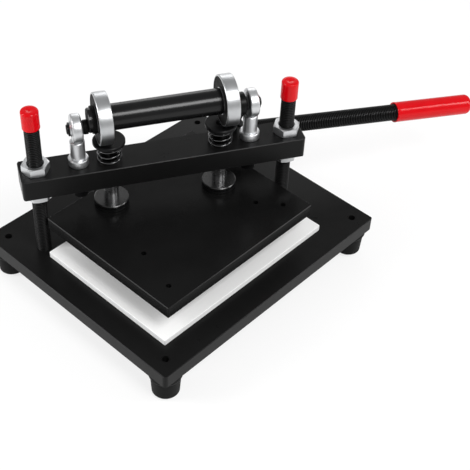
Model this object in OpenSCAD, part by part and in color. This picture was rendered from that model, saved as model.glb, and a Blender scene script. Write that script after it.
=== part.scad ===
// Manual die cutting press.
// A base plate on rubber feet carries two threaded columns. A crossbeam is clamped between nuts
// on the columns. Rod ends on the beam hold an eccentric shaft, whose two ball bearings push down
// two sprung plungers and the press plate over a white cutting pad. A crank arm and a threaded
// lever with a red grip turn the shaft.
// X and Y run along the base plate's edges, Z is up, and the origin is on the floor under the
// middle of the base plate.

/* [Base plate and feet] */
// Width of the base plate, along X
base_w = 320; // [290:5:360]
// Length of the base plate, along Y
base_l = 375; // [350:5:420]
// Thickness of the base plate
base_t = 19; // [12:1:24]
// Radius of the base plate's upright corners
base_corner_r = 5; // [2:1:12]
// Distance of each bench bolt hole from the plate's edges
hole_inset = 20; // [19:1:30]
// Diameter of the bench bolt holes
bench_hole_d = 9; // [7:0.5:11]
// Height of the rubber feet
foot_h = 36; // [28:1:45]
// Diameter of a foot under the base plate
foot_top_d = 40; // [34:1:42]
// Diameter of a foot on the floor
foot_floor_d = 33; // [26:1:36]
// Wall of the steel sleeve moulded into a foot
sleeve_wall = 2; // [1:0.5:3]

/* [Cutting pad] */
// Width of the pad, along X
pad_w = 202; // [160:1:206]
// Length of the pad, along Y
pad_l = 274; // [240:1:280]
// Thickness of the pad
pad_t = 8; // [4:1:14]
// Pad centre, along X
pad_x = 24.5; // [23:0.5:30]
// Pad centre, along Y
pad_y = -17.5; // [-24:0.5:-10]
// Room between the pad's notch and the right column
notch_room = 3; // [1:0.5:6]

/* [Columns] */
// Thread diameter of a column
column_d = 18; // [14:1:20]
// Distance between the two columns' axes
column_span = 306; // [290:1:320]
// Height of a column's top above the base plate
column_top = 194.5; // [185:0.5:230]
// Middle of the crossbeam, along X
beam_x = -18; // [-24:0.5:-12]
// Middle of the crossbeam, along Y
beam_y = -15; // [-20:0.5:-10]
// Direction of the crossbeam, in degrees from X
beam_angle = 60; // [56:0.5:63]
// Width across flats of a column nut
nut_flats = 29; // [24:1:32]
// Height of a column nut
nut_h = 11; // [8:0.5:16]
// Diameter of the washers under the base plate
base_washer_d = 36; // [30:1:42]
// Thickness of the washers under the base plate
base_washer_t = 3; // [2:0.5:4]
// Length of thread that shows below a base nut
thread_tail = 3; // [1:0.5:6]
// Outer diameter of a column cap
cap_d = 21; // [20.5:0.5:24]
// Height of a column cap
cap_h = 24; // [18:1:32]
// Thickness of a column cap's top
cap_top_t = 3; // [1.5:0.5:4]
// Height by which the left cap is pulled up on its column
left_cap_lift = 11.5; // [0:0.5:12]

/* [Crossbeam] */
// Height of the beam's underside above the base plate
beam_gap = 95.5; // [86:0.5:115]
// Height of the beam
beam_h = 27.5; // [22:0.5:32]
// Depth of the beam, front to back
beam_d = 42; // [38:1:46]
// Length of beam beyond each column's axis
beam_over = 19.5; // [15:0.5:24]
// Radius of the beam's upright corners
beam_corner_r = 5; // [2:1:10]
// Radial room of the beam round the columns
column_room = 0.3; // [0.2:0.1:0.6]
// Distance of the working gear's middle from the beam's middle, to the right
gear_s = 1.5; // [0:0.25:4]

/* [Rod ends] */
// Distance of each rod end from the gear's middle
rod_end_s = 104.5; // [103:0.5:110]
// Height of an eye's centre above the beam
eye_h = 51.5; // [48:0.5:60]
// Outer diameter of an eye
eye_d = 34.5; // [30:0.5:36]
// Width of an eye along the shaft
eye_w = 12; // [10:0.5:13]
// Diameter of the ball in an eye
ball_d = 22; // [21:0.5:24]
// Width of the ball along the shaft
ball_w = 16; // [14.5:0.5:16.5]
// Diameter of a rod end's barrel
barrel_d = 17.5; // [16:0.5:20]
// Diameter of a rod end's foot collar
foot_collar_d = 24; // [21:0.5:26]
// Height of a rod end's foot collar
foot_collar_h = 10; // [6:0.5:12]
// Thread diameter of a rod end's screw
rod_screw_d = 12; // [10:1:13]
// Length of screw inside a rod end
rod_screw_in = 20; // [12:1:24]
// Height of the head of a rod end's screw
rod_screw_head_h = 18; // [12:1:24]

/* [Eccentric shaft] */
// Diameter of the shaft between the bearings
shaft_d = 31; // [30.5:0.5:33]
// Offset of the bearing axis from the journal axis
ecc = 8.5; // [6:0.5:8.5]
// Diameter of the journals in the rod ends
journal_d = 12; // [10:0.5:12]
// Diameter of the stubs outside the bearings
stub_d = 29; // [29:0.25:29.5]
// Length of the left stub outside its lock ring
stub_tail = 4; // [2.5:0.5:5]
// Length of journal outside a ball
journal_tail = 3; // [2.5:0.5:6]
// Outer diameter of the spacer on the left journal
spacer_d = 17; // [14:0.5:20]
// Outer diameter of the retaining rings
ring_d = 16; // [14:0.5:18]
// Thickness of the retaining rings
ring_t = 1.2; // [1:0.1:1.6]

/* [Bearings] */
// Distance of each bearing from the gear's middle
bearing_s = 74; // [72:0.5:74]
// Bore of a bearing
bearing_bore = 30; // [29.75:0.25:30]
// Outer diameter of a bearing
bearing_od = 62; // [58:1:64]
// Width of a bearing
bearing_w = 16; // [14:0.5:16]
// Radial thickness of the inner ring and of the outer ring
race_t = 4.6; // [4:0.2:5]
// Diameter of the bearing balls
bearing_ball_d = 9.5; // [8.5:0.25:10]
// Number of balls in a bearing
bearing_balls = 9; // [7:1:10]
// Chamfer of an outer ring's edges
bearing_edge = 1.4; // [0.8:0.1:1.8]
// Thickness of a bearing seal
seal_t = 1.2; // [0.8:0.2:1.4]
// Depth of a seal's outer face in the bearing
seal_sink = 0.6; // [0.4:0.1:0.8]
// Width of outer ring that shows round a seal
seal_rim = 2; // [1.8:0.1:3]
// Width of inner ring that shows inside a seal
seal_lip = 1.2; // [1:0.1:1.8]
// Running gap between a seal and the inner ring
seal_gap = 0.4; // [0.3:0.05:0.5]
// Outer diameter of the bearings' lock rings
lock_ring_d = 32.5; // [32.5:0.5:34]
// Width of the left bearing's lock ring
lock_ring_w = 5; // [4:0.5:6]
// Width of the right bearing's lock ring
right_ring_w = 3; // [2:0.5:3.5]

/* [Plungers and springs] */
// Distance of each plunger from the gear's middle
plunger_s = 67.75; // [62:0.25:68]
// Diameter of a plunger rod
plunger_d = 18; // [14:0.5:20]
// Length of a plunger rod between its head and the press plate
plunger_l = 91; // [84:0.5:96]
// Diameter of a plunger head
head_d = 38.5; // [34:0.5:39.5]
// Thickness of a plunger head
head_t = 5; // [4:0.5:7]
// Gap between a bearing and the plunger head below it
roll_gap = 0.3; // [0.2:0.1:0.6]
// Diameter of a plunger flange
flange_d = 42; // [36:1:48]
// Height of a plunger flange
flange_h = 9; // [6:0.5:12]
// Wall of a guide bush in the beam
bush_wall = 3; // [2:0.5:4]
// Radial running clearance of a plunger rod in its bush
bush_room = 0.05; // [0.02:0.01:0.1]
// Mean diameter of a spring
spring_d = 28; // [25.5:0.5:29.5]
// Wire diameter of a spring
wire_d = 2; // [1.6:0.1:2.4]
// Number of turns of a spring
spring_turns = 3; // [3:1:4]

/* [Press plate] */
// Width of the press plate, along X
plate_w = 207; // [180:1:208]
// Length of the press plate, along Y
plate_l = 246; // [220:1:250]
// Thickness of the press plate
plate_t = 16; // [11:0.5:20]
// Press plate centre, along X
plate_x = 21; // [20.5:0.5:28]
// Press plate centre, along Y
plate_y = -25; // [-30:0.5:-22]
// Diameter of the die holes
die_hole_d = 6.5; // [5:0.5:8.5]
// Distance of the outer die holes from the plate's edges
die_inset = 25; // [15:1:30]
// Front inner die hole, along X from the plate's centre
front_hole_x = 21; // [0:1:40]
// Front inner die hole, along Y from the plate's centre
front_hole_y = -82; // [-90:1:-74]
// Back inner die hole, along X from the plate's centre
back_hole_x = 52; // [46:1:70]
// Back inner die hole, along Y from the plate's centre
back_hole_y = 77; // [60:1:84]
// Thread diameter of the screws that hold the plungers
plate_screw_d = 10; // [6:1:11]
// Length of those screws inside a plunger rod
plate_screw_in = 22; // [14:1:30]

/* [Lever] */
// Distance from the journal axis to the lever's root
arm_r = 100; // [98:1:112]
// Direction of the crank arm, in degrees back from straight down
arm_angle = 33.5; // [33:0.5:36]
// Outward rake of the lever, in degrees from the shaft's direction
lever_rake = 7; // [5:0.25:9]
// Thickness of the crank arm's web
arm_t = 7; // [6:0.5:7.5]
// Width of the crank arm's web
arm_w = 20; // [16:1:21]
// Outer diameter of the crank arm's hub on the right journal
hub_d = 28; // [26:0.5:30]
// Gap between the hub and the right rod end's ball
hub_room = 1; // [0.5:0.25:1.5]
// Diameter of the pin that locks the hub to the journal
pin_d = 4; // [3:0.5:5]
// Outer diameter of the boss that holds the lever
boss_d = 32; // [28:1:34]
// Length of that boss
boss_l = 24; // [18:1:28]
// Thread diameter of the lever
lever_d = 22; // [18:1:23]
// Length of the lever from the middle of the boss to the tip of the grip
lever_l = 362; // [320:1:400]
// Width across flats of the lever's jam nut
jam_flats = 32; // [28:1:34]
// Height of the lever's jam nut
jam_h = 8; // [5:0.5:10]
// Outer diameter of the grip
grip_d = 27.5; // [25.5:0.5:30]
// Length of the grip
grip_l = 118; // [80:1:140]
// Thickness of the grip's closed end
grip_end_t = 4; // [2.5:0.5:6]

/* [Hidden] */
$fn = 96;

// Sides of the beam: left and right as seen from the front
left = -1;
right = 1;

// Radial clearance of pieces that are screwed or pressed together
fit = 0.03;
// Radial running clearance of a ball in its eye and of balls in their races
run = 0.06;
// Small chamfer on turned pieces
edge = 0.8;
// Overlap of cuts past the surface that they open
past = 1;
// Gap at each end of the left journal's spacer, and between the hub and the right stub
spacer_room = 0.2;
// Gap at each end of a spring
spring_seat = 0.1;
// Depth of the countersinks in a nut's bore
nut_sink = 1.2;
// Width and depth of the spanner slots
slot_d = 3.5;
slot_depth = 1;

black = "#1b1c1d";
steel = "#c9ccd0";
dark_steel = "#4a4d50";
red = "#d8141e";

base_top = foot_h + base_t;
beam_bottom = base_top + beam_gap;
beam_top = beam_bottom + beam_h;
eye_z = beam_top + eye_h;
main_z = eye_z + ecc;
head_top = main_z - bearing_od / 2 - roll_gap;
head_under = head_top - head_t;
plate_top = head_under - plunger_l;
hole_x = base_w / 2 - hole_inset;
hole_y = base_l / 2 - hole_inset;
column_s = column_span / 2;
cap_z = base_top + column_top + cap_top_t - cap_h;
right_column_x = beam_x + column_s * cos(beam_angle);
right_column_y = beam_y + column_s * sin(beam_angle);
bearing_out = bearing_s + bearing_w / 2;
ball_in = rod_end_s - ball_w / 2;
ball_out = rod_end_s + ball_w / 2;
left_stub_end = bearing_out + lock_ring_w + stub_tail;
right_stub_end = bearing_out + right_ring_w + edge;
journal_end = ball_out + journal_tail;
ring_s = ball_out + ring_t / 2 + fit;
hub_start = right_stub_end + spacer_room;
hub_end = ball_in - hub_room;
hub_mid = (hub_start + hub_end) / 2;
web_mid = hub_end - arm_t / 2;
spigot_d = plunger_d * 2 / 3;
bush_d = plunger_d + 2 * bush_room + 2 * bush_wall;
screw_head_d = 1.5 * rod_screw_d;
land_r = bearing_bore / 2 + race_t;
lip_r = bearing_bore / 2 + seal_lip;
seal_r = bearing_od / 2 - seal_rim;
seal_in = bearing_w / 2 - seal_sink - seal_t;
ring_in_r = bearing_od / 2 - race_t;
pitch_r = (land_r + ring_in_r) / 2;

// Places the beam's own frame: first axis along the beam, second towards the back
module on_beam(s = 0, z = 0) translate([beam_x, beam_y, z]) rotate(beam_angle)
    translate([s, 0, 0]) children();

// The same frame, moved to the middle of the working gear
module on_gear(s = 0, z = 0) on_beam(gear_s + s, z) children();

// Turns a piece drawn along Z so that it runs along the beam
module along_beam() rotate([0, 90, 0]) children();

// Places the lever's own frame: Z runs along the lever from the middle of the boss
module on_lever() on_gear(web_mid, eye_z) rotate([arm_angle, 0, 0]) translate([0, 0, -arm_r])
    rotate([0, 90 + lever_rake, 0]) children();

// Outline of a slab seen from its end, with a chamfer on each long edge
module slab_end(w, t, c) polygon([
    [c - w / 2, 0], [w / 2 - c, 0], [w / 2, c], [w / 2, t - c],
    [w / 2 - c, t], [c - w / 2, t], [-w / 2, t - c], [-w / 2, c]
]);

// Slab with round upright corners and chamfered edges, standing on its frame's floor
module slab(w, l, t, r, c) intersection() {
    linear_extrude(height = t) {
        square([w - 2 * r, l], center = true);
        square([w, l - 2 * r], center = true);
        for (x = [-1, 1], y = [-1, 1]) translate([x * (w / 2 - r), y * (l / 2 - r)]) circle(r);
    }
    rotate([90, 0, 0]) linear_extrude(height = l, center = true) slab_end(w, t, c);
    rotate([90, 0, 90]) linear_extrude(height = w, center = true) slab_end(l, t, c);
}

// Round bar with a chamfer at both ends
module bar(d, l, c = edge) rotate_extrude()
    polygon([[0, 0], [d / 2 - c, 0], [d / 2, c], [d / 2, l - c], [d / 2 - c, l], [0, l]]);

module ring(d_out, d_in, l, c = 0) difference() {
    bar(d_out, l, c);
    translate([0, 0, -past]) cylinder(d = d_in, h = l + 2 * past);
}

// Hexagon nut with its corners turned off and its bore countersunk at both faces
module hex_nut(flats, h, bore) difference() {
    intersection() {
        cylinder(d = flats / cos(30), h = h, $fn = 6);
        union() {
            translate([0, 0, h / 2]) cylinder(r1 = flats / 2 + h, r2 = flats / 2 - edge / 2, h = h / 2);
            cylinder(r1 = flats / 2 - edge / 2, r2 = flats / 2 + h, h = h / 2);
        }
    }
    translate([0, 0, -past]) cylinder(d = bore, h = h + 2 * past);
    sink_d = bore + 2 * nut_sink + 2 * past;
    translate([0, 0, h - nut_sink]) cylinder(d1 = bore, d2 = sink_d, h = nut_sink + past);
    translate([0, 0, -past]) cylinder(d1 = sink_d, d2 = bore, h = nut_sink + past);
}

module base_plate() color(black) difference() {
    translate([0, 0, foot_h]) slab(base_w, base_l, base_t, base_corner_r, edge);
    for (x = [-1, 1], y = [-1, 1]) translate([x * hole_x, y * hole_y, foot_h - past])
        cylinder(d = bench_hole_d, h = base_t + 2 * past);
    for (side = [left, right]) on_beam(side * column_s, foot_h - past)
        cylinder(d = column_d + 2 * fit, h = base_t + 2 * past);
}

// Tapered rubber foot with a rounded rim, bored for its steel sleeve
module foot(x, y) color("#141414") translate([x * hole_x, y * hole_y, 0]) difference() {
    rotate_extrude() {
        rim = foot_h / 9;
        polygon([
            [0, 0], [foot_floor_d / 2 - rim, 0], [foot_floor_d / 2, rim],
            [foot_top_d / 2 - rim / 2, foot_h - 2 * rim], [foot_top_d / 2, foot_h - rim],
            [foot_top_d / 2, foot_h], [0, foot_h]
        ]);
    }
    translate([0, 0, -past]) cylinder(d = bench_hole_d + 2 * sleeve_wall + 2 * fit, h = foot_h + 2 * past);
}

module foot_sleeves() color(steel) for (x = [-1, 1], y = [-1, 1]) translate([x * hole_x, y * hole_y, 0])
    ring(bench_hole_d + 2 * sleeve_wall, bench_hole_d, foot_h);

// White board, notched at its back edge round the right column
module cutting_pad() color("white") difference() {
    translate([pad_x, pad_y, base_top]) slab(pad_w, pad_l, pad_t, 1.5, edge / 2);
    translate([right_column_x, right_column_y, base_top - past]) {
        notch_r = column_d / 2 + notch_room;
        cylinder(r = notch_r, h = pad_t + 2 * past);
        translate([-notch_r, 0, 0]) cube([2 * notch_r, pad_l, pad_t + 2 * past]);
    }
}

module column(side) color(black) {
    tail = base_washer_t + nut_h + thread_tail;
    on_beam(side * column_s, foot_h - tail) bar(column_d, tail + base_t + column_top, 1.5);
}

module column_base_nuts() color(steel) for (side = [left, right])
    on_beam(side * column_s, foot_h - base_washer_t - nut_h) hex_nut(nut_flats, nut_h, column_d + 2 * fit);

module column_base_washers() color(steel) for (side = [left, right])
    on_beam(side * column_s, foot_h - base_washer_t)
        ring(base_washer_d, column_d + 2 * fit, base_washer_t, 0.5);

// Push-on cap with a rounded top edge
module cap(side, lift) color(red) on_beam(side * column_s, cap_z + lift) difference() {
    rotate_extrude() {
        crown = 2;
        square([cap_d / 2 - crown, cap_h]);
        square([cap_d / 2, cap_h - crown]);
        translate([cap_d / 2 - crown, cap_h - crown]) circle(crown);
    }
    translate([0, 0, -past]) cylinder(d = column_d + 2 * fit, h = cap_h - cap_top_t + past);
}

module column_nut(side, z) color(steel) on_beam(side * column_s, z)
    hex_nut(nut_flats, nut_h, column_d + 2 * run);

module crossbeam() color(black) difference() {
    on_beam(0, beam_bottom) slab(column_span + 2 * beam_over, beam_d, beam_h, beam_corner_r, edge);
    for (side = [left, right]) {
        on_beam(side * column_s, beam_bottom - past)
            cylinder(d = column_d + 2 * column_room, h = beam_h + 2 * past);
        on_gear(side * rod_end_s, beam_bottom - past)
            cylinder(d = rod_screw_d + 2 * fit, h = beam_h + 2 * past);
        on_gear(side * plunger_s, beam_bottom - past)
            cylinder(d = bush_d + 2 * fit, h = beam_h + 2 * past);
    }
}

module guide_bush(side) color(black) on_gear(side * plunger_s, beam_bottom)
    ring(bush_d, plunger_d + 2 * bush_room, beam_h, 0.4);

// Rod end: foot collar, barrel that necks in, and an eye with a round socket
module rod_end(side) color(steel) on_gear(side * rod_end_s, beam_top) {
    collar_r = foot_collar_d / 2;
    barrel_r = barrel_d / 2;
    neck_z = eye_h - eye_d / 2;
    difference() {
        union() {
            rotate_extrude() polygon([
                [0, 0], [collar_r - edge, 0], [collar_r, edge], [collar_r, foot_collar_h - edge],
                [collar_r - edge, foot_collar_h], [barrel_r, foot_collar_h],
                [barrel_r, neck_z - 2.5], [eye_w / 2, neck_z - 0.5], [eye_w / 2, neck_z + 5], [0, neck_z + 5]
            ]);
            translate([-eye_w / 2, 0, eye_h]) along_beam() bar(eye_d, eye_w, 2.2);
        }
        translate([0, 0, eye_h]) rotate_extrude() intersection() {
            circle(d = ball_d + 2 * run);
            translate([0, -ball_d]) square(2 * ball_d);
        }
        translate([0, 0, -past]) cylinder(d = rod_screw_d + 2 * fit, h = rod_screw_in + edge + past);
    }
}

module rod_end_ball(side) color(steel) on_gear(side * rod_end_s, eye_z) along_beam() difference() {
    intersection() {
        sphere(d = ball_d);
        cylinder(d = 2 * ball_d, h = ball_w, center = true);
    }
    cylinder(d = journal_d + 2 * fit, h = ball_d, center = true);
}

// Socket head screw, from below, into a rod end
module rod_end_screw(side) color(black) on_gear(side * rod_end_s, beam_bottom) difference() {
    union() {
        translate([0, 0, -rod_screw_head_h]) bar(screw_head_d, rod_screw_head_h);
        translate([0, 0, -edge]) bar(rod_screw_d, edge + beam_h + rod_screw_in);
    }
    translate([0, 0, -rod_screw_head_h - past])
        cylinder(d = rod_screw_d, h = rod_screw_d / 2 + past, $fn = 6);
}

// One turned shaft: bearing seats and stubs on the main axis, journals on the lower axis
module eccentric_shaft() color(black) difference() {
    union() {
        on_gear(-bearing_s + bearing_w / 2, main_z) along_beam() bar(shaft_d, 2 * bearing_s - bearing_w, 0.4);
        on_gear(-bearing_out, main_z) along_beam() cylinder(d = bearing_bore - 2 * fit, h = 2 * bearing_out);
        on_gear(-left_stub_end, main_z) along_beam() bar(stub_d, left_stub_end + right_stub_end);
        on_gear(-journal_end, eye_z) along_beam() bar(journal_d, 2 * journal_end);
    }
    for (side = [left, right]) on_gear(side * ring_s, eye_z) along_beam()
        translate([0, 0, -ring_t / 2 - fit]) ring(2 * journal_d, journal_d - 1, ring_t + 2 * fit);
    on_gear(-left_stub_end, main_z) along_beam() spanner_slots(stub_d, stub_tail - edge);
    on_gear(hub_mid, eye_z) rotate([arm_angle + 90, 0, 0])
        cylinder(d = pin_d + 2 * fit, h = hub_d, center = true);
}

module retaining_ring(side) color(black) on_gear(side * ring_s, eye_z) along_beam()
    translate([0, 0, -ring_t / 2]) ring(ring_d, journal_d - 1 + 2 * fit, ring_t);

// Sleeve on the left journal, from the stub to the ball
module left_spacer() color(black) on_gear(-ball_in + spacer_room, eye_z) along_beam()
    ring(spacer_d, journal_d + 2 * fit, ball_in - left_stub_end - 2 * spacer_room, 0.5);

// Half profile of a ball groove, cut from a race
module groove() translate([pitch_r, 0]) circle(d = bearing_ball_d + 2 * run);

module bearing_inner(side) color(steel) on_gear(side * bearing_s, main_z) along_beam() rotate_extrude()
    difference() {
        union() {
            translate([bearing_bore / 2, -bearing_w / 2]) square([seal_lip, bearing_w]);
            translate([bearing_bore / 2, seal_gap - seal_in]) square([race_t, 2 * (seal_in - seal_gap)]);
        }
        groove();
    }

module bearing_outer(side) color(steel) on_gear(side * bearing_s, main_z) along_beam() rotate_extrude()
    difference() {
        half = bearing_w / 2;
        out_r = bearing_od / 2;
        polygon([
            [ring_in_r, -seal_in], [seal_r, -seal_in], [seal_r, -half], [out_r - bearing_edge, -half],
            [out_r, bearing_edge - half], [out_r, half - bearing_edge], [out_r - bearing_edge, half],
            [seal_r, half], [seal_r, seal_in], [ring_in_r, seal_in]
        ]);
        groove();
    }

module bearing_ball_set(side) color(steel) on_gear(side * bearing_s, main_z) along_beam()
    for (i = [0 : bearing_balls - 1]) rotate(360 * i / bearing_balls)
        translate([pitch_r, 0, 0]) sphere(d = bearing_ball_d);

// Seals sit in the outer ring and run just clear of the inner ring
module bearing_seals(side) color(black) on_gear(side * bearing_s, main_z) along_beam() for (face = [-1, 1])
    translate([0, 0, face * (seal_in + seal_t / 2 + fit) - seal_t / 2])
        ring(2 * seal_r - 2 * fit, 2 * lip_r + 2 * seal_gap, seal_t);

// Four slots for a spanner, cut from the end of a round piece
module spanner_slots(d, l) for (i = [0 : 3]) rotate(45 + 90 * i)
    translate([d / 2 - slot_depth, -slot_d / 2, -past]) cube([2 * slot_depth, slot_d, l + past]);

// Slotted ring nut on a stub, from a place along the beam outwards or inwards to a bearing
module lock_ring(s, w) color(black) on_gear(s, main_z) along_beam() difference() {
    ring(lock_ring_d, stub_d + 2 * fit, w, edge / 2);
    spanner_slots(lock_ring_d, w + past);
}

// Crank arm: hub on the right journal, flat web, and a boss along the lever
module lever_arm() color(black) difference() {
    union() {
        on_gear(hub_start, eye_z) along_beam() bar(hub_d, hub_end - hub_start);
        on_gear(web_mid, eye_z) rotate([arm_angle, 0, 0]) translate([-arm_t / 2, -arm_w / 2, -arm_r])
            cube([arm_t, arm_w, arm_r]);
        on_lever() translate([0, 0, -boss_l / 2]) bar(boss_d, boss_l);
    }
    on_gear(hub_start - past, eye_z) along_beam() cylinder(d = journal_d + 2 * fit, h = ball_in);
    on_gear(hub_mid, eye_z) rotate([arm_angle + 90, 0, 0])
        cylinder(d = pin_d + 2 * fit, h = 2 * hub_d, center = true);
    on_lever() cylinder(d = lever_d + 2 * fit, h = 2 * boss_l, center = true);
}

module lever_pin() color(black) on_gear(hub_mid, eye_z) rotate([arm_angle + 90, 0, 0])
    translate([0, 0, edge - hub_d / 2]) bar(pin_d, hub_d - 2 * edge, 0.4);

module lever_rod() color(black) on_lever() translate([0, 0, -boss_l / 2])
    bar(lever_d, lever_l + boss_l / 2 - grip_end_t, 1.5);

module lever_jam_nut() color(black) on_lever() translate([0, 0, boss_l / 2])
    hex_nut(jam_flats, jam_h, lever_d + 2 * fit);

// Soft sleeve with a closed, rounded end and a flared mouth
module lever_grip() color(red) on_lever() translate([0, 0, lever_l - grip_l]) difference() {
    rotate_extrude() {
        round_r = grip_d / 4;
        translate([0, 1]) square([grip_d / 2, grip_l - round_r - 1]);
        square([grip_d / 2 - 1, grip_l]);
        square([grip_d / 2 - round_r, grip_l]);
        translate([grip_d / 2 - round_r, grip_l - round_r]) circle(round_r);
    }
    translate([0, 0, -past]) cylinder(d = lever_d + 2 * fit, h = grip_l - grip_end_t + past);
}

module plunger_head(side) color(black) on_gear(side * plunger_s, head_under)
    ring(head_d, spigot_d + 2 * fit, head_t, 1);

module plunger_rod(side) color(dark_steel) on_gear(side * plunger_s, plate_top) difference() {
    union() {
        bar(plunger_d, plunger_l, 0.5);
        cylinder(d = spigot_d, h = plunger_l + head_t);
    }
    translate([0, 0, -past]) cylinder(d = plate_screw_d + 2 * fit, h = plate_screw_in + 1 + past);
}

// Round foot of a plunger, with a groove round its middle
module plunger_flange(side) color(black) on_gear(side * plunger_s, plate_top) difference() {
    ring(flange_d, plunger_d + 2 * fit, flange_h, edge);
    translate([0, 0, flange_h / 2]) rotate_extrude()
        translate([flange_d / 2, 0]) square([4, 1.6], center = true);
}

// Helical spring: rings of six points round a path that starts and ends upright
spring_low = beam_top + spring_seat;
spring_high = head_under - spring_seat;
curl_rings = 8;
tube_sides = 6;
spring_steps = curl_rings * spring_turns;
spring_rise = (spring_high - spring_low - 2 * wire_d) / spring_steps;
spring_angles = [0, for (i = [0 : spring_steps]) 360 * i / curl_rings, 360 * spring_turns];
spring_heights = [
    spring_low,
    for (i = [0 : spring_steps]) spring_low + wire_d + spring_rise * i,
    spring_high
];
spring_path = [
    for (i = [0 : spring_steps + 2])
        [spring_d / 2 * cos(spring_angles[i]), spring_d / 2 * sin(spring_angles[i]), spring_heights[i]]
];
spring_gap = min([
    for (i = [0 : spring_steps + 2], j = [0 : spring_steps + 2])
        if (j >= i + curl_rings / 2) norm(spring_path[i] - spring_path[j]) - wire_d
]);
echo(str("Least gap of a spring to itself: ", spring_gap, " mm"));

function unit(v) = v / norm(v);

// Direction of a path at one of its points, from the points beside it
function path_run(path, i) = let (last = len(path) - 1)
    i == 0 ? unit(path[1] - path[0])
    : i == last ? unit(path[last] - path[last - 1])
    : unit(unit(path[i + 1] - path[i]) + unit(path[i] - path[i - 1]));

// One ring of tube points, square to the path, where out points away from the coil's axis
function tube_ring(p, run, out) = [
    for (k = [0 : tube_sides - 1])
        p + wire_d / 2 * (cos(360 * k / tube_sides) * out + sin(360 * k / tube_sides) * cross(run, out))
];

module spring(side) color(dark_steel) on_gear(side * plunger_s) {
    last = len(spring_path) - 1;
    points = [
        for (i = [0 : last]) let (out = [cos(spring_angles[i]), sin(spring_angles[i]), 0])
            each tube_ring(spring_path[i], path_run(spring_path, i), out)
    ];
    walls = [
        for (i = [0 : last - 1], k = [0 : tube_sides - 1])
            let (a = i * tube_sides + k, b = i * tube_sides + (k + 1) % tube_sides)
            each [[a, a + tube_sides, b], [b, a + tube_sides, b + tube_sides]]
    ];
    ends = [
        for (k = [1 : tube_sides - 2])
            each [[0, k, k + 1], [last * tube_sides, last * tube_sides + k + 1, last * tube_sides + k]]
    ];
    polyhedron(points, concat(walls, ends));
}

module press_plate() color(black) difference() {
    translate([plate_x, plate_y, plate_top - plate_t]) slab(plate_w, plate_l, plate_t, 2, edge);
    for (side = [left, right]) on_gear(side * plunger_s, plate_top - plate_t)
        plate_screw_shape(2 * fit, past);
    translate([plate_x, plate_y, plate_top - plate_t - past]) {
        for (y = [-1, 1]) translate([plate_w / 2 - die_inset, y * (plate_l / 2 - die_inset), 0])
            cylinder(d = die_hole_d, h = plate_t + 2 * past);
        translate([front_hole_x, front_hole_y, 0]) cylinder(d = die_hole_d, h = plate_t + 2 * past);
        translate([back_hole_x, back_hole_y, 0]) cylinder(d = die_hole_d, h = plate_t + 2 * past);
    }
}

// Countersunk screw, point up, with its head flush below the plate
module plate_screw_shape(room, cut) {
    head_d = 2 * plate_screw_d;
    translate([0, 0, -cut]) cylinder(d = head_d + room, h = cut + 0.4);
    translate([0, 0, 0.4]) cylinder(d1 = head_d + room, d2 = plate_screw_d + room, h = plate_screw_d / 2);
    cylinder(d = plate_screw_d + room, h = plate_t + (cut > 0 ? cut : plate_screw_in));
}

module plate_screws() color(black) for (side = [left, right])
    on_gear(side * plunger_s, plate_top - plate_t) difference() {
        plate_screw_shape(0, 0);
        translate([0, 0, -past]) cylinder(d = 0.7 * plate_screw_d, h = past + plate_screw_d / 3, $fn = 6);
    }

base_plate();
foot(1, -1);  // front_foot
foot(-1, -1);  // left_foot
foot(1, 1);  // right_foot
foot(-1, 1);  // back_foot
foot_sleeves();
cutting_pad();
column(left);  // left_column
column(right);  // right_column
column_base_nuts();
column_base_washers();
cap(left, left_cap_lift);  // left_cap
cap(right, 0);  // right_cap
column_nut(left, beam_top);  // left_upper_nut
column_nut(right, beam_top);  // right_upper_nut
column_nut(left, beam_bottom - nut_h);  // left_lower_nut
column_nut(right, beam_bottom - nut_h);  // right_lower_nut
crossbeam();
guide_bush(left);  // left_guide_bush
guide_bush(right);  // right_guide_bush
rod_end(left);  // left_rod_end
rod_end(right);  // right_rod_end
rod_end_ball(left);  // left_rod_end_ball
rod_end_ball(right);  // right_rod_end_ball
rod_end_screw(left);  // left_rod_end_screw
rod_end_screw(right);  // right_rod_end_screw
eccentric_shaft();
bearing_inner(left);  // left_bearing_inner
bearing_inner(right);  // right_bearing_inner
bearing_outer(left);  // left_bearing_outer
bearing_outer(right);  // right_bearing_outer
bearing_ball_set(left);  // left_bearing_balls
bearing_ball_set(right);  // right_bearing_balls
bearing_seals(left);  // left_bearing_seals
bearing_seals(right);  // right_bearing_seals
lock_ring(-bearing_out - lock_ring_w, lock_ring_w);  // left_lock_ring
lock_ring(bearing_out, right_ring_w);  // right_lock_ring
left_spacer();
retaining_ring(left);  // left_retaining_ring
retaining_ring(right);  // right_retaining_ring
lever_arm();
lever_pin();
lever_rod();
lever_jam_nut();
lever_grip();
plunger_head(left);  // left_plunger_head
plunger_head(right);  // right_plunger_head
plunger_rod(left);  // left_plunger_rod
plunger_rod(right);  // right_plunger_rod
plunger_flange(left);  // left_plunger_flange
plunger_flange(right);  // right_plunger_flange
spring(left);  // left_spring
spring(right);  // right_spring
press_plate();
plate_screws();
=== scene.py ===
import math

import bpy
from mathutils import Matrix, Vector


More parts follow.
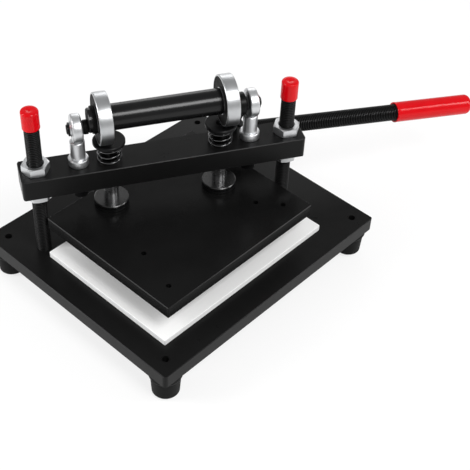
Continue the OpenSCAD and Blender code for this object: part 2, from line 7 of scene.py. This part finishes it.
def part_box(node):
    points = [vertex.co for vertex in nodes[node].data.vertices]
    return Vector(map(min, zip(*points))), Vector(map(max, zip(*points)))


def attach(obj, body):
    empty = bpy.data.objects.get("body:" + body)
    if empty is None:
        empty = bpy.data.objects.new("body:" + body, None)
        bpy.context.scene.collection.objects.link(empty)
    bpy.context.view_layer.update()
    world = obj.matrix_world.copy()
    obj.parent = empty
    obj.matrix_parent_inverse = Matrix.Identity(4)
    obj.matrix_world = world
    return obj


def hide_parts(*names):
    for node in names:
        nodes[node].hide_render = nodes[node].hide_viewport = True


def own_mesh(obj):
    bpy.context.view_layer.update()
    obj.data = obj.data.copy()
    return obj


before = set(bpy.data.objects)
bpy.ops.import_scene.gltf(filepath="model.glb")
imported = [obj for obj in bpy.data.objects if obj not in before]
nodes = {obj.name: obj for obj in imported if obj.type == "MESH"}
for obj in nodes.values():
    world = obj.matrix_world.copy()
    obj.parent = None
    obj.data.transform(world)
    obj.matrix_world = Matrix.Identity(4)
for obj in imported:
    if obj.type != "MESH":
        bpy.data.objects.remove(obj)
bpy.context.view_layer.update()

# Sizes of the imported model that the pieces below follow, in metres
MM = 0.001
BEAM_CENTRE = Vector((-18 * MM, -15 * MM, 0))
BEAM_ANGLE = math.radians(60)
COLUMN_S = 153 * MM
COLUMN_R = 9 * MM
GEAR_S = 1.5 * MM
PLUNGER_S = 67.75 * MM
EYE_Z = 229.5 * MM
MAIN_Z = 238 * MM
BEAM_TOP = 178 * MM
HEAD_UNDER = 201.7 * MM
WEB_S = GEAR_S + 92 * MM
ARM_R = 100 * MM
ARM_ANGLE = math.radians(33.5)
BOSS_HALF = 12 * MM
LEVER_RAKE = math.radians(7)
LEVER_L = 362 * MM
LEVER_R = 11 * MM
GRIP_L = 118 * MM

ALONG = Vector((math.cos(BEAM_ANGLE), math.sin(BEAM_ANGLE), 0))
BACK = Vector((-math.sin(BEAM_ANGLE), math.cos(BEAM_ANGLE), 0))
UP = Vector((0, 0, 1))
SIDES = ((-1, "left"), (1, "right"))


def on_beam(s, y, z):
    """A point of the beam's own frame, in the row frame."""
    return BEAM_CENTRE + ALONG * s + BACK * y + UP * z


# Materials

PEEL_DEPTH = 0.3 * MM
MARK_DEPTH = 0.2 * MM
WAVE_DEPTH = 0.4 * MM


class Shader:
    """A node material with one Principled shader and short helpers for its textures."""

    def __init__(self, name):
        self.mat = bpy.data.materials.new(name)
        self.mat.use_nodes = True
        self.tree = self.mat.node_tree
        self.bsdf = self.tree.nodes["Principled BSDF"]
        self.texture_coords = self.add("ShaderNodeTexCoord").outputs
        self.coords = self.texture_coords["Object"]

    def add(self, kind, **values):
        node = self.tree.nodes.new(kind)
        for key, value in values.items():
            setattr(node, key, value)
        return node

    def link(self, out, socket):
        self.tree.links.new(out, socket)

    def drive(self, **sources):
        """Links outputs to the shader's inputs of these names."""
        for key, out in sources.items():
            self.link(out, self.bsdf.inputs[key.replace("_", " ")])

    def set(self, **values):
        for key, value in values.items():
            self.bsdf.inputs[key.replace("_", " ")].default_value = value

    def noise(self, scale, detail, vector=None):
        node = self.add("ShaderNodeTexNoise")
        node.inputs["Scale"].default_value = scale
        node.inputs["Detail"].default_value = detail
        node.inputs["Roughness"].default_value = 0.55
        self.link(vector or self.coords, node.inputs["Vector"])
        return node.outputs["Fac"]

    def remap(self, value, low, high, start=0.25, end=0.75):
        node = self.add("ShaderNodeMapRange")
        numbers = {"From Min": start, "From Max": end, "To Min": low, "To Max": high}
        for key, number in numbers.items():
            node.inputs[key].default_value = number
        self.link(value, node.inputs["Value"])
        return node.outputs["Result"]

    def blend(self, factor, first, second):
        node = self.add("ShaderNodeMix", data_type="RGBA")
        self.link(factor, node.inputs["Factor"])
        colour_inputs = [i for i in node.inputs if i.type == "RGBA"]
        for socket, colour in zip(colour_inputs, (first, second)):
            socket.default_value = (*colour, 1)
        return [o for o in node.outputs if o.type == "RGBA"][0]

    def bump(self, height, strength, distance):
        node = self.add("ShaderNodeBump")
        node.inputs["Strength"].default_value = strength
        node.inputs["Distance"].default_value = distance
        self.link(height, node.inputs["Height"])
        self.drive(Normal=node.outputs["Normal"])

    def lift(self, share):
        """Seen by the camera or in a mirror, a share of the surface is plain white."""
        path = self.add("ShaderNodeLightPath").outputs
        seen = self.add("ShaderNodeMath", operation="MAXIMUM")
        self.link(path["Is Camera Ray"], seen.inputs[0])
        self.link(path["Is Glossy Ray"], seen.inputs[1])
        white = self.add("ShaderNodeEmission")
        mix = self.add("ShaderNodeMixShader")
        self.link(self.remap(seen.outputs["Value"], 0, share, 0, 1), mix.inputs["Fac"])
        self.link(self.bsdf.outputs["BSDF"], mix.inputs[1])
        self.link(white.outputs["Emission"], mix.inputs[2])
        self.link(mix.outputs["Shader"], self.tree.nodes["Material Output"].inputs["Surface"])

    def turned_coords(self, z):
        """Distance along and from the beam's direction at height z, for marks left by a lathe."""
        mapping = self.add("ShaderNodeMapping", vector_type="TEXTURE")
        mapping.inputs["Location"].default_value = (BEAM_CENTRE.x, BEAM_CENTRE.y, z)
        mapping.inputs["Rotation"].default_value = (0, 0, BEAM_ANGLE)
        self.link(self.coords, mapping.inputs["Vector"])
        parts = self.add("ShaderNodeSeparateXYZ")
        self.link(mapping.outputs["Vector"], parts.inputs["Vector"])
        flat = self.add("ShaderNodeCombineXYZ")
        self.link(parts.outputs["Y"], flat.inputs["X"])
        self.link(parts.outputs["Z"], flat.inputs["Y"])
        length = self.add("ShaderNodeVectorMath", operation="LENGTH")
        self.link(flat.outputs["Vector"], length.inputs[0])
        out = self.add("ShaderNodeCombineXYZ")
        self.link(parts.outputs["X"], out.inputs["X"])
        self.link(length.outputs["Value"], out.inputs["Y"])
        return out.outputs["Vector"]

    def square_to_beam(self):
        """1 on faces square to the beam's direction, and 0 on faces along it."""
        facing = self.add("ShaderNodeVectorMath", operation="DOT_PRODUCT")
        self.link(self.texture_coords["Normal"], facing.inputs[0])
        facing.inputs[1].default_value = ALONG
        square = self.add("ShaderNodeMath", operation="ABSOLUTE")
        self.link(facing.outputs["Value"], square.inputs[0])
        return square.outputs["Value"]


def grey(value):
    return (value, value, value)


def painted(name, dark, light, rough, spread, peel, peel_scale, gloss, dull_ends=None):
    """Satin paint: faint clouding, a fine orange peel, and uneven gloss or duller end faces."""
    s = Shader(name)
    s.set(Specular_IOR_Level=gloss)
    s.drive(Base_Color=s.blend(s.remap(s.noise(9, 3), 0, 1), dark, light))
    if dull_ends is None:
        s.drive(Roughness=s.remap(s.noise(70, 4), rough - spread, rough + spread))
    else:
        s.drive(Roughness=s.remap(s.square_to_beam(), rough, dull_ends, 0.8, 0.95))
    s.bump(s.noise(peel_scale, 2), peel, PEEL_DEPTH)
    return s.mat


def metal(name, dark, light, rough, spread, scratch, turned_at=None):
    """Bare or plated steel, with fine machining marks round the beam's direction or all over."""
    s = Shader(name)
    s.set(Metallic=1.0)
    where = s.turned_coords(turned_at) if turned_at is not None else s.coords
    marks = s.noise(2600, 3, where)
    s.drive(Base_Color=s.blend(s.remap(s.noise(60, 3), 0, 1), dark, light),
            Roughness=s.remap(marks, rough - spread, rough + spread))
    s.bump(marks, scratch, MARK_DEPTH)
    return s.mat


def ground_rod(name, bright, black, above):
    """Steel ground round Z, which stretches its highlights, and black above a height, where the
    black is painted shade inside the spring.
    """
    s = Shader(name)
    s.set(Metallic=1.0, Anisotropic=0.5, Anisotropic_Rotation=0.25)
    tangent = s.add("ShaderNodeTangent", direction_type="RADIAL", axis="Z")
    parts = s.add("ShaderNodeSeparateXYZ")
    s.link(s.coords, parts.inputs["Vector"])
    # Black above the given height: painted shade on the rod inside the spring
    painted_shade_above = s.remap(parts.outputs["Z"], 0, 1, above, above + 3 * MM)
    s.drive(Tangent=tangent.outputs["Tangent"],
            Base_Color=s.blend(painted_shade_above, bright, black),
            Roughness=s.remap(s.noise(60, 2), 0.21, 0.24))
    return s.mat


def threaded(name, root, crest):
    """Black oxide thread, dull in its roots, with bare steel crests as painted glints and
    near-black roots as painted shade.
    """
    s = Shader(name)
    near_crest = s.add("ShaderNodeAttribute", attribute_name="crest").outputs["Fac"]
    # Crests bare steel and roots near black: painted glints on the crests, painted shade in the
    # roots
    painted_crest_glint = s.remap(near_crest, 0, 1, 0.75, 1)
    s.drive(Base_Color=s.blend(painted_crest_glint, root, crest),
            Roughness=s.remap(painted_crest_glint, 0.45, 0.28, 0, 1),
            Metallic=painted_crest_glint)
    s.set(Specular_IOR_Level=0.08)
    s.bump(s.noise(2400, 2), 0.05, MARK_DEPTH)
    return s.mat


def vinyl(name, dark, light, rough):
    """Dipped soft plastic: even colour, soft gloss, very faint waviness."""
    s = Shader(name)
    s.set(Specular_IOR_Level=0.2)
    s.drive(Base_Color=s.blend(s.remap(s.noise(30, 2), 0, 1), dark, light),
            Roughness=s.remap(s.noise(200, 2), rough - 0.03, rough + 0.03))
    s.bump(s.noise(90, 1), 0.04, WAVE_DEPTH)
    return s.mat


OILED_DARK, OILED_LIGHT = (0.004, 0.004, 0.0042), (0.006, 0.006, 0.0062)

BLACK_PAINT = painted("black_paint", grey(0.005), grey(0.008), 0.30, 0.03, 0.05, 900, 0.10)
PLATE_PAINT = painted("plate_paint", grey(0.004), grey(0.006), 0.25, 0.02, 0.03, 900, 0.10)
BLACK_OXIDE = painted("black_oxide", (0.004, 0.004, 0.0044), (0.007, 0.007, 0.0072),
                      0.38, 0.05, 0.06, 2200, 0.10)
DULL_BLACK = painted("dull_black", grey(0.003), grey(0.005), 0.55, 0.05, 0.05, 2200, 0.08)
SHAFT_BLACK = painted("shaft_black", OILED_DARK, OILED_LIGHT, 0.22, 0, 0.02, 1500, 0.28,
                      dull_ends=0.75)
FLANGE_BLACK = painted("flange_black", OILED_DARK, OILED_LIGHT, 0.28, 0.03, 0.02, 1500, 0.7)
# Thread with painted glints on its crests and painted shade in its roots
THREAD_BLACK = threaded("thread_black", grey(0.001), (0.035, 0.035, 0.0355))
BEARING_STEEL = metal("bearing_steel", (0.50, 0.51, 0.52), (0.58, 0.59, 0.60),
                      0.34, 0.03, 0.004, MAIN_Z)
ZINC_STEEL = metal("zinc_steel", (0.64, 0.65, 0.66), (0.72, 0.73, 0.74), 0.38, 0.04, 0.02)
# Rods black above the beam's top: painted shade inside the springs
ROD_STEEL = ground_rod("rod_steel", (0.70, 0.70, 0.71), grey(0.01), BEAM_TOP)
SPRING_STEEL = metal("spring_steel", (0.08, 0.08, 0.082), (0.14, 0.14, 0.142), 0.20, 0.04, 0.04)
RUBBER = painted("black_rubber", grey(0.006), grey(0.009), 0.60, 0.06, 0.20, 1300, 0.08)
RED_VINYL = vinyl("red_vinyl", (0.55, 0.001, 0.004), (0.60, 0.002, 0.006), 0.13)
WHITE_BOARD = painted("white_board", (0.87, 0.87, 0.865), (0.90, 0.90, 0.895),
                      0.48, 0.05, 0.06, 1100, 0.4)

NODE_MATERIALS = {
    "base_plate": BLACK_PAINT,
    "crossbeam": BLACK_PAINT,
    "press_plate": PLATE_PAINT,
    "lever_arm": BLACK_PAINT,
    "eccentric_shaft": SHAFT_BLACK,
    "cutting_pad": WHITE_BOARD,
    "column_base_nuts": ZINC_STEEL,
    "column_base_washers": ZINC_STEEL,
    "foot_sleeves": ZINC_STEEL,
    "lever_pin": BLACK_OXIDE,
    "left_spacer": DULL_BLACK,
    "lever_jam_nut": BLACK_OXIDE,
    "left_lock_ring": DULL_BLACK,
    "right_lock_ring": DULL_BLACK,
    "plate_screws": BLACK_OXIDE,
}
for place in ("front", "left", "right", "back"):
    NODE_MATERIALS[place + "_foot"] = RUBBER
for sign, side in SIDES:
    NODE_MATERIALS.update({
        side + "_upper_nut": ZINC_STEEL,
        side + "_lower_nut": ZINC_STEEL,
        side + "_rod_end": ZINC_STEEL,
        side + "_rod_end_ball": BEARING_STEEL,
        side + "_rod_end_screw": BLACK_OXIDE,
        side + "_retaining_ring": BLACK_OXIDE,
        side + "_bearing_inner": BEARING_STEEL,
        side + "_bearing_outer": BEARING_STEEL,
        side + "_bearing_balls": BEARING_STEEL,
        side + "_bearing_seals": RUBBER,
        side + "_guide_bush": BLACK_OXIDE,
        side + "_plunger_head": BLACK_OXIDE,
        side + "_plunger_rod": ROD_STEEL,
        side + "_plunger_flange": FLANGE_BLACK,
    })
for name, material in NODE_MATERIALS.items():
    mesh = nodes[name].data
    mesh.materials.clear()
    mesh.materials.append(material)


# Pieces that replace plain solids


def piece(name, points, faces, material, body, slot, replaced, crease=None):
    """A smooth mesh in the row frame that rides on a body and stands for a CAD node."""
    mesh = bpy.data.meshes.new(name)
    mesh.from_pydata([tuple(p) for p in points], [], faces)
    mesh.materials.append(material)
    mesh.update()
    mesh.polygons.foreach_set("use_smooth", [True] * len(mesh.polygons))
    if crease:
        mesh.set_sharp_from_angle(angle=math.radians(crease))
    obj = bpy.data.objects.new(name, mesh)
    bpy.context.scene.collection.objects.link(obj)
    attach(obj, body)
    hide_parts(replaced)
    return obj


def sweep(rings, closed=False):
    """Points and faces of a tube through rings of equal length, with ends or closed on itself."""
    count = len(rings[0])
    points = [p for r in rings for p in r]
    faces = []
    for i in range(len(rings) if closed else len(rings) - 1):
        a, b = i * count, (i + 1) % len(rings) * count
        for k in range(count):
            n = (k + 1) % count
            faces.append((a + k, a + n, b + n, b + k))
    if not closed:
        faces.append(tuple(reversed(range(count))))
        faces.append(tuple(range((len(rings) - 1) * count, len(rings) * count)))
    return points, faces


def frame_of(axis):
    """Two directions square to an axis."""
    nearly_upright = abs(axis.z) >= 0.9
    side = axis.cross(Vector((1, 0, 0)) if nearly_upright else UP).normalized()
    return side, axis.cross(side)


def circle(count):
    """Angles of evenly spaced points round a circle."""
    return [2 * math.pi * k / count for k in range(count)]


def lathe(start, axis, profile, count=64, closed=False):
    """A turned shape from (radius, distance along the axis) pairs, closed round a bore or not."""
    u, v = frame_of(axis)
    spokes = [u * math.cos(a) + v * math.sin(a) for a in circle(count)]
    rings = [[start + axis * z + spoke * r for spoke in spokes] for r, z in profile]
    return sweep(rings, closed)


def joined(*shapes):
    """Points and faces of several shapes as one."""
    points, faces = [], []
    for some_points, some_faces in shapes:
        faces += [tuple(i + len(points) for i in face) for face in some_faces]
        points += some_points
    return points, faces


PITCH = 2.5 * MM
THREAD_DEPTH = 1.5 * MM
THREAD_BEVEL = 1.5 * MM
THREAD_SIDES = 36
ROWS_PER_PITCH = 8
FLANK_SLOPE = 2.6
CREST_WIDTH = 0.3


def threaded_bar(name, body, replaced, start, axis, length, radius, plain_from=None):
    """A right-hand thread that is bevelled at both ends, and plain from a distance on."""
    u, v = frame_of(axis)
    rows = int(length / PITCH * ROWS_PER_PITCH)
    rings, crest = [], []
    for i in range(rows + 1):
        z = length * i / rows
        limit = radius - THREAD_BEVEL + min(z, length - z, THREAD_BEVEL)
        plain = plain_from is not None and z >= plain_from
        ring = []
        for k, a in enumerate(circle(THREAD_SIDES)):
            phase = (z / PITCH - k / THREAD_SIDES) % 1
            flank = min(max(abs(phase - 0.5) * FLANK_SLOPE - CREST_WIDTH, 0), 1)
            r = radius - THREAD_DEPTH * (1 if plain else flank)
            ring.append(start + axis * z + (u * math.cos(a) + v * math.sin(a)) * min(r, limit))
            crest.append(1 - (radius - r) / THREAD_DEPTH)
        rings.append(ring)
    bar = piece(name, *sweep(rings), THREAD_BLACK, body, "black_steel", replaced)
    # How near each point is to its crest, where the material paints glints on the crests and shade
    # in the roots
    bar.data.attributes.new("crest", "FLOAT", "POINT").data.foreach_set("value", crest)


def arc(cx, cz, r, first, last, count=8):
    """Profile points on an arc, with angles in degrees."""
    angles = [math.radians(first + (last - first) * i / count) for i in range(count + 1)]
    return [(cx + r * math.cos(a), cz + r * math.sin(a)) for a in angles]


# Columns, threaded all the way
for sign, side in SIDES:
    low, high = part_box(side + "_column")
    threaded_bar(side + "_column_thread", "base", side + "_column",
                 on_beam(sign * COLUMN_S, 0, low.z), UP, high.z - low.z, COLUMN_R)

# Caps of dipped vinyl, with a soft crown, a dimple and a rolled lip
CAP_BORE_R = 9.05 * MM
CAP_LIP = 0.7 * MM
CAP_WAIST = 0.1 * MM
CAP_CROWN = 2.6 * MM
for sign, side in SIDES:
    low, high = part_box(side + "_cap")
    tall = high.z - low.z
    outer = (high.x - low.x) / 2
    skin = outer - CAP_WAIST
    profile = [(CAP_BORE_R, 0.6 * MM), (CAP_BORE_R + 0.4 * MM, 0.1 * MM)]
    profile += arc(outer - CAP_LIP, CAP_LIP, CAP_LIP, -90, 0, 5)
    profile += [(skin, 2.2 * MM), (skin, tall - CAP_CROWN - 1 * MM)]
    profile += arc(skin - CAP_CROWN, tall - CAP_CROWN, CAP_CROWN, 0, 84)
    # The dimple, from its rim to its bottom
    profile += [(4.5 * MM, tall - 0.05 * MM), (2.6 * MM, tall - 0.25 * MM),
                (1.5 * MM, tall - 1.0 * MM), (0.3 * MM, tall - 1.2 * MM)]
    points, faces = lathe(on_beam(sign * COLUMN_S, 0, low.z), UP, profile)
    piece(side + "_cap_vinyl", points, faces, RED_VINYL, "base", "red_plastic", side + "_cap")

# Lever: threaded rod and vinyl grip, along the lever's own direction
GRIP_WALL_END = 4 * MM
THREAD_IN_GRIP = 16 * MM
arm_out = BACK * math.sin(ARM_ANGLE) - UP * math.cos(ARM_ANGLE)
lever_axis = (ALONG * math.cos(LEVER_RAKE) + arm_out * math.sin(LEVER_RAKE)).normalized()
lever_root = on_beam(WEB_S, 0, EYE_Z) + arm_out * ARM_R
rod_l = LEVER_L + BOSS_HALF - GRIP_WALL_END
threaded_bar("lever_thread", "shaft", "lever_rod", lever_root - lever_axis * BOSS_HALF, lever_axis,
             rod_l, LEVER_R, plain_from=rod_l - GRIP_L + THREAD_IN_GRIP)

GRIP_R = 13.75 * MM
GRIP_LIP = 0.9 * MM
GRIP_WAIST = 0.15 * MM
GRIP_NOSE = 6.7 * MM
skin = GRIP_R - GRIP_WAIST
profile = [(11.03 * MM, 9 * MM), (11.4 * MM, 2.0 * MM), (11.9 * MM, 0.5 * MM)]
profile += arc(GRIP_R - GRIP_LIP, GRIP_LIP, GRIP_LIP, -90, 0, 5)
profile += [(skin, 3.4 * MM), (skin, GRIP_L - GRIP_NOSE - 1 * MM)]
profile += arc(skin - GRIP_NOSE, GRIP_L - GRIP_NOSE, GRIP_NOSE, 0, 86, 10)
profile += [(2 * MM, GRIP_L), (0.3 * MM, GRIP_L)]
points, faces = lathe(lever_root + lever_axis * (LEVER_L - GRIP_L), lever_axis, profile)
piece("lever_grip_vinyl", points, faces, RED_VINYL, "shaft", "red_plastic", "lever_grip")

# Outer rings of the bearings, with rounded edges and a step for the seals
BEARING_S = 74 * MM
BEARING_HALF = 8 * MM
RING_R = 31 * MM
RING_ROUND = 1.4 * MM
SEAL_R = 29 * MM
SEAL_IN = 6.2 * MM
RACE_R = 26.4 * MM
CREASE = 40
round_r = RING_R - RING_ROUND
round_s = BEARING_HALF - RING_ROUND
for sign, side in SIDES:
    profile = [(RACE_R, -SEAL_IN), (SEAL_R, -SEAL_IN), (SEAL_R, -BEARING_HALF)]
    profile += arc(round_r, -round_s, RING_ROUND, -90, 0)
    profile += arc(round_r, round_s, RING_ROUND, 0, 90)
    profile += [(SEAL_R, BEARING_HALF), (SEAL_R, SEAL_IN), (RACE_R, SEAL_IN)]
    centre = on_beam(GEAR_S + sign * BEARING_S, 0, MAIN_Z)
    points, faces = lathe(centre, ALONG, profile, 160, closed=True)
    piece(side + "_bearing_ring", points, faces, BEARING_STEEL, side + "_roller", "bearing_steel",
          side + "_bearing_outer", CREASE)

# Rod ends: turned foot and barrel, and a rounded eye with a spherical socket
ROD_END_S = 104.5 * MM
ROD_END_SIDES = 96
EYE_R = 17.25 * MM
EYE_HALF = 6 * MM
EYE_ROUND = 2.6 * MM
SOCKET_R = 11.06 * MM
COLLAR_R = 12 * MM
COLLAR_H = 10 * MM
COLLAR_ROUND = 1.4 * MM
EDGE = 0.8 * MM
BARREL_R = 8.75 * MM
BORE_R = 6.03 * MM
BORE_TOP = 20.8 * MM
CORE_R = 0.05 * MM
neck = EYE_Z - BEAM_TOP - EYE_R
barrel_top = neck - 0.3 * MM
stem_top = neck + 5 * MM
mouth = math.degrees(math.asin(EYE_HALF / SOCKET_R))
for sign, side in SIDES:
    s = GEAR_S + sign * ROD_END_S
    shank = [(BORE_R, 0), (COLLAR_R - EDGE, 0), (COLLAR_R, EDGE)]
    shank += arc(COLLAR_R - COLLAR_ROUND, COLLAR_H - COLLAR_ROUND, COLLAR_ROUND, 0, 90)
    shank += [(BARREL_R, COLLAR_H), (BARREL_R, barrel_top - EDGE), (BARREL_R - EDGE, barrel_top),
              (EYE_HALF, barrel_top), (EYE_HALF, stem_top),
              (CORE_R, stem_top), (CORE_R, BORE_TOP), (BORE_R, BORE_TOP)]
    eye = arc(EYE_R - EYE_ROUND, -EYE_HALF + EYE_ROUND, EYE_ROUND, -90, 0)
    eye += arc(EYE_R - EYE_ROUND, EYE_HALF - EYE_ROUND, EYE_ROUND, 0, 90)
    eye += arc(0, 0, SOCKET_R, mouth, -mouth)
    points, faces = joined(
        lathe(on_beam(s, 0, BEAM_TOP), UP, shank, ROD_END_SIDES, closed=True),
        lathe(on_beam(s, 0, EYE_Z), ALONG, eye, ROD_END_SIDES, closed=True),
    )
    piece(side + "_rod_end_turned", points, faces, ZINC_STEEL, "beam", "zinc_steel",
          side + "_rod_end", CREASE)

# Springs: a round wire with closed turns at both ends
WIRE_R = 1.0 * MM
WIRE_SIDES = 12
COIL_R = 14 * MM
TURNS = 3.6
CLOSED = 0.5
PER_TURN = 28
END_GAP = 0.1 * MM
CLOSED_RISE = 1.2 * MM
EASE = 0.25
bottom = BEAM_TOP + WIRE_R + END_GAP
top = HEAD_UNDER - WIRE_R - END_GAP
steps = int(TURNS * PER_TURN)
for sign, side in SIDES:
    plunger_s = GEAR_S + sign * PLUNGER_S
    path = []
    for i in range(steps + 1):
        turn = i / PER_TURN
        rise = min(max((turn - CLOSED) / (TURNS - 2 * CLOSED), 0), 1)
        eased = rise * rise * (3 - 2 * rise) * EASE + rise * (1 - EASE)
        closed = (min(turn, CLOSED) + max(turn - TURNS + CLOSED, 0)) / CLOSED
        z = bottom + CLOSED_RISE * closed + (top - bottom - 2 * CLOSED_RISE) * eased
        a = 2 * math.pi * turn
        path.append(on_beam(plunger_s + COIL_R * math.cos(a), COIL_R * math.sin(a), z))
    rings = []
    for i, p in enumerate(path):
        run = (path[min(i + 1, steps)] - path[max(i - 1, 0)]).normalized()
        out = (p - on_beam(plunger_s, 0, p.z)).normalized()
        over = run.cross(out)
        rings.append([p + (out * math.cos(a) + over * math.sin(a)) * WIRE_R
                      for a in circle(WIRE_SIDES)])
    points, faces = sweep(rings)
    coil = piece(side + "_spring_wire", points, faces, SPRING_STEEL, "beam", "spring_steel",
                 side + "_spring")
    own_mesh(coil)

# Floor, light and camera
FLOOR_SIZE = 40
FLOOR_DROP = 0.5 * MM
FLOOR_LIFT = 0.75
WORLD_STRENGTH = 0.4
SENSOR_WIDTH = 36
LENS = 80.96
CAMERA_PLACE = (0.69224, -0.69814, 0.97187)
CAMERA_RIGHT = (0.72970, 0.68258, 0.04036)
CAMERA_UP = (-0.49080, 0.48176, 0.72596)
CAMERA_BACK = (0.47608, -0.54954, 0.68655)

bpy.ops.mesh.primitive_plane_add(size=FLOOR_SIZE, location=(0, 0, -FLOOR_DROP))
floor = bpy.context.object
floor.name = "studio_floor"
paper = Shader("studio_floor")
paper.drive(Base_Color=paper.blend(paper.noise(3, 2), grey(0.93), grey(0.95)))
paper.set(Roughness=0.9)
paper.lift(FLOOR_LIFT)
floor.data.materials.append(paper.mat)


def softbox(name, place, target, width, height, power):
    """A rectangular lamp that faces a point."""
    light = bpy.data.lights.new(name, "AREA")
    light.shape = "RECTANGLE"
    light.size, light.size_y = width, height
    light.energy = power
    obj = bpy.data.objects.new(name, light)
    obj.location = place
    obj.rotation_euler = (Vector(target) - Vector(place)).to_track_quat("-Z", "Y").to_euler()
    bpy.context.scene.collection.objects.link(obj)


softbox("key_light", (1.5, -0.25, 2.1), (0, 0, 0.1), 0.9, 0.9, 34)
softbox("back_light", (-1.55, 1.65, 1.05), (0, 0, 0.15), 1.6, 1.0, 10)
softbox("left_light", (-1.05, -1.5, 1.0), (0, 0, 0.15), 0.7, 1.5, 28)
softbox("right_light", (1.5, 1.2, 1.05), (0, 0, 0.15), 0.5, 0.9, 13)

world = bpy.data.worlds.new("studio")
world.use_nodes = True
sky = world.node_tree.nodes["Background"].inputs
sky["Color"].default_value = (1, 1, 1, 1)
sky["Strength"].default_value = WORLD_STRENGTH
bpy.context.scene.world = world
bpy.context.scene.view_settings.view_transform = "Standard"

camera = bpy.data.cameras.new("camera")
camera.sensor_width = SENSOR_WIDTH
camera.lens = LENS
shot = bpy.data.objects.new("camera", camera)
turned = Matrix((CAMERA_RIGHT, CAMERA_UP, CAMERA_BACK)).transposed().to_4x4()
shot.matrix_world = Matrix.Translation(CAMERA_PLACE) @ turned
bpy.context.scene.collection.objects.link(shot)
bpy.context.scene.camera = shot
